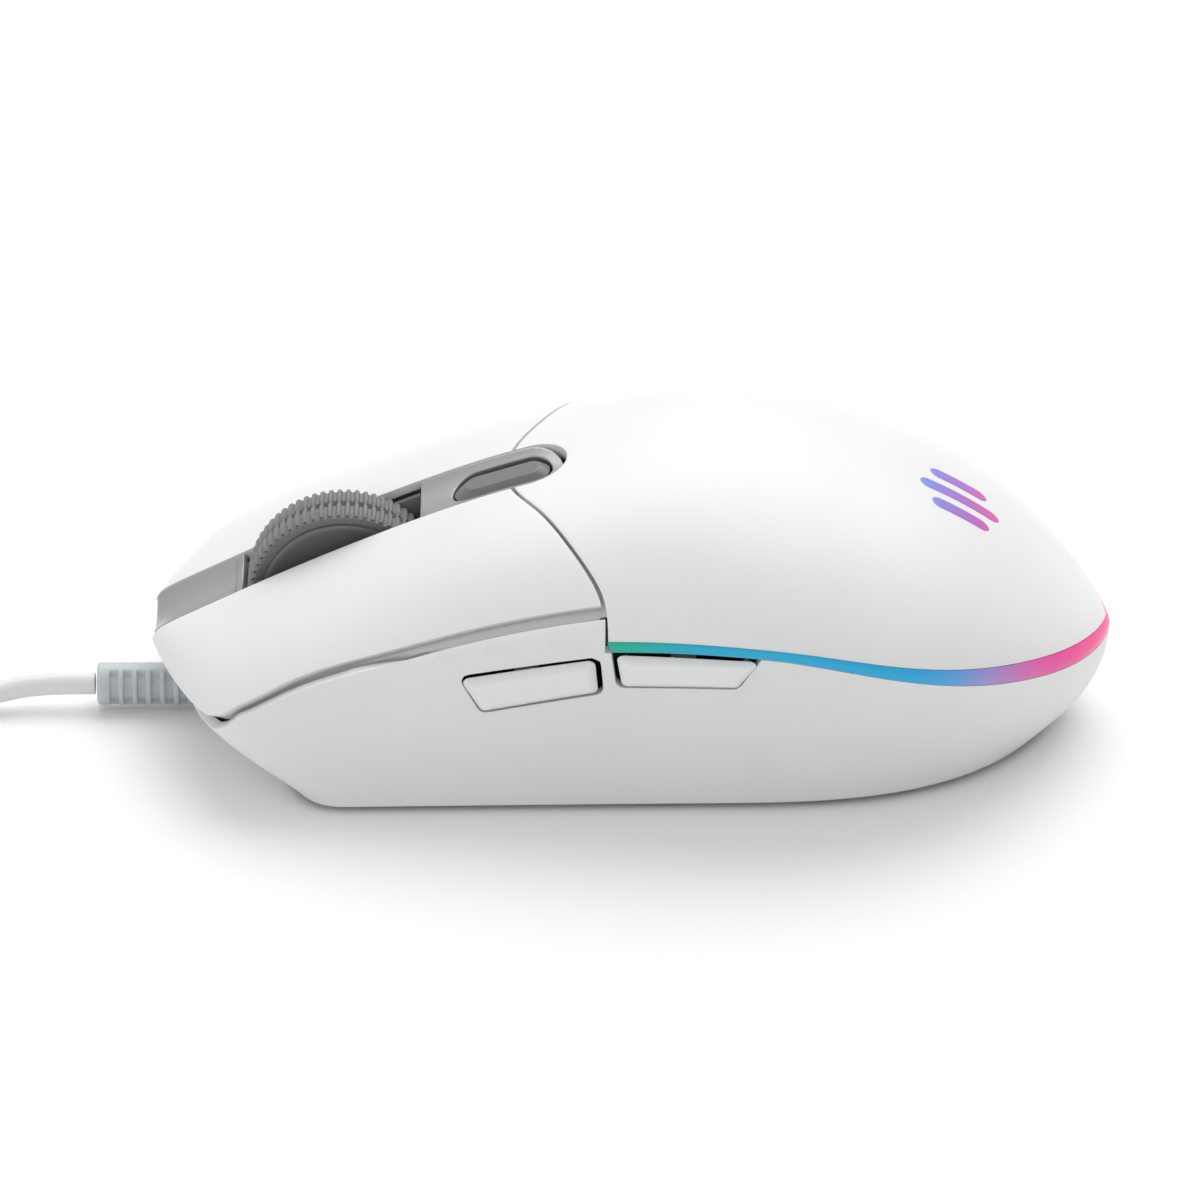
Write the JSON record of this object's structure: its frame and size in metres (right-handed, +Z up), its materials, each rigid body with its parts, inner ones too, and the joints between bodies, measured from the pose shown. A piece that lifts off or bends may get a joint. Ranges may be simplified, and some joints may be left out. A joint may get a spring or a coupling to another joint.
{
  "type": "computer mouse",
  "caption": "Wired palm-size mouse with two main buttons, ribbed scroll wheel that also clicks, raised mode button, two thumb buttons, lit belt band and a coiled cord with plug.",
  "frame": {"origin": "on the desk plane, under the middle of the body's length and width, cord left out", "axes": "+X from the cord end towards the palm end, +Y away from the thumb side, +Z up from the desk"},
  "size_m": [0.2058, 0.0779, 0.0375],
  "materials": {
    "white_shell": "satin moulded, warm white",
    "satin_grey": "satin silver grey",
    "carrier_plastic": "moulded",
    "dark_plastic": "fine grain",
    "wheel_hub": "smooth",
    "foot": "slippery sheet",
    "tyre_rubber": "ribbed",
    "light_guide": "frosted, lit teal to blue to violet to pink",
    "emblem_guide": "frosted, lit blue violet to magenta",
    "led": "clear",
    "circuit_board": "solder mask",
    "switch_plastic": "moulded",
    "plunger": "smooth",
    "steel": "plated",
    "clear_plastic": "clear moulding",
    "cable_sheath": "satin sheath"
  },
  "bodies": {
    "case": {"side_housing": "white_shell", "palm_cover": "white_shell", "usb_grip": "white_shell", "centre_strip": "satin_grey", "base_plate": "dark_plastic", "cord_clip": "dark_plastic", "front_left_foot": "foot", "front_right_foot": "foot", "rear_left_foot": "foot", "rear_right_foot": "foot", "light_band": "light_guide", "emblem_window": "emblem_guide", "led_1": "led", "led_2": "led", "led_3": "led", "led_4": "led", "main_board": "circuit_board", "side_board": "circuit_board", "light_board": "circuit_board", "left_switch": "switch_plastic", "right_switch": "switch_plastic", "middle_switch": "switch_plastic", "dpi_switch": "switch_plastic", "forward_switch": "switch_plastic", "back_switch": "switch_plastic", "controller_chip": "switch_plastic", "sensor_chip": "switch_plastic", "usb_tongue": "switch_plastic", "carrier_pin": "steel", "carrier_spring": "steel", "case_screw_1": "steel", "case_screw_2": "steel", "case_screw_3": "steel", "board_screw_1": "steel", "board_screw_2": "steel", "usb_shell": "steel", "sensor_lens": "clear_plastic", "cable_socket": "clear_plastic", "cable": "cable_sheath", "cable_tail": "cable_sheath", "cable_coil": "cable_sheath", "inner_lead": "cable_sheath", "strain_relief": "cable_sheath"},
    "left_button": {"left_button": "white_shell"},
    "right_button": {"right_button": "white_shell"},
    "wheel_carrier": {"wheel_carrier": "carrier_plastic", "scroll_encoder": "switch_plastic"},
    "wheel": {"wheel_tyre": "tyre_rubber", "wheel_hub": "wheel_hub", "wheel_axle": "steel"},
    "dpi_button": {"dpi_button": "dark_plastic"},
    "forward_button": {"forward_button": "white_shell"},
    "back_button": {"back_button": "white_shell"},
    "left_plunger": {"left_plunger": "plunger"},
    "right_plunger": {"right_plunger": "plunger"},
    "middle_plunger": {"middle_plunger": "plunger"},
    "dpi_plunger": {"dpi_plunger": "plunger"},
    "forward_plunger": {"forward_plunger": "plunger"},
    "back_plunger": {"back_plunger": "plunger"}
  },
  "joints": [
    {"name": "left_click", "type": "hinge", "parent": "case", "child": "left_button", "pos_m": [-0.002, -0.0162, 0.03309], "axis": [0, -1, 0], "range_deg": [0, 0.6], "stiffness_Nm_per_rad": 3},
    {"name": "right_click", "type": "hinge", "parent": "case", "child": "right_button", "pos_m": [-0.002, 0.0162, 0.03309], "axis": [0, -1, 0], "range_deg": [0, 0.6], "stiffness_Nm_per_rad": 3},
    {"name": "wheel_click", "type": "hinge", "parent": "case", "child": "wheel_carrier", "pos_m": [-0.017, 0, 0.0124], "axis": [0, -1, 0], "range_deg": [0, 1.5], "stiffness_Nm_per_rad": 0.5},
    {"name": "wheel_spin", "type": "hinge", "parent": "wheel_carrier", "child": "wheel", "pos_m": [-0.0342, 0, 0.01704], "axis": [0, -1, 0], "continuous": true},
    {"name": "dpi_press", "type": "slide", "parent": "case", "child": "dpi_button", "axis": [0, 0, -1], "range_m": [0, 0.0005], "stiffness_N_per_m": 1500},
    {"name": "forward_press", "type": "slide", "parent": "case", "child": "forward_button", "axis": [0, 1, 0], "range_m": [0, 0.0006], "stiffness_N_per_m": 1300},
    {"name": "back_press", "type": "slide", "parent": "case", "child": "back_button", "axis": [0, 1, 0], "range_m": [0, 0.0006], "stiffness_N_per_m": 1300},
    {"name": "left_plunger_press", "type": "slide", "parent": "case", "child": "left_plunger", "axis": [0, 0, -1], "range_m": [0, 0.0004]},
    {"name": "right_plunger_press", "type": "slide", "parent": "case", "child": "right_plunger", "axis": [0, 0, -1], "range_m": [0, 0.0004]},
    {"name": "middle_plunger_press", "type": "slide", "parent": "case", "child": "middle_plunger", "axis": [0, 0, -1], "range_m": [0, 0.0005]},
    {"name": "dpi_plunger_press", "type": "slide", "parent": "case", "child": "dpi_plunger", "axis": [0, 0, -1], "range_m": [0, 0.00055]},
    {"name": "forward_plunger_press", "type": "slide", "parent": "case", "child": "forward_plunger", "axis": [0, 1, 0], "range_m": [0, 0.00065]},
    {"name": "back_plunger_press", "type": "slide", "parent": "case", "child": "back_plunger", "axis": [0, 1, 0], "range_m": [0, 0.00065]}
  ],
  "couplings": [
    {"joint": "left_plunger_press", "follows": "left_click", "m_per_rad": 0.0322},
    {"joint": "right_plunger_press", "follows": "right_click", "m_per_rad": 0.0322},
    {"joint": "middle_plunger_press", "follows": "wheel_click", "m_per_rad": 0.0172},
    {"joint": "dpi_plunger_press", "follows": "dpi_press", "ratio": 1},
    {"joint": "forward_plunger_press", "follows": "forward_press", "ratio": 1},
    {"joint": "back_plunger_press", "follows": "back_press", "ratio": 1}
  ]
}
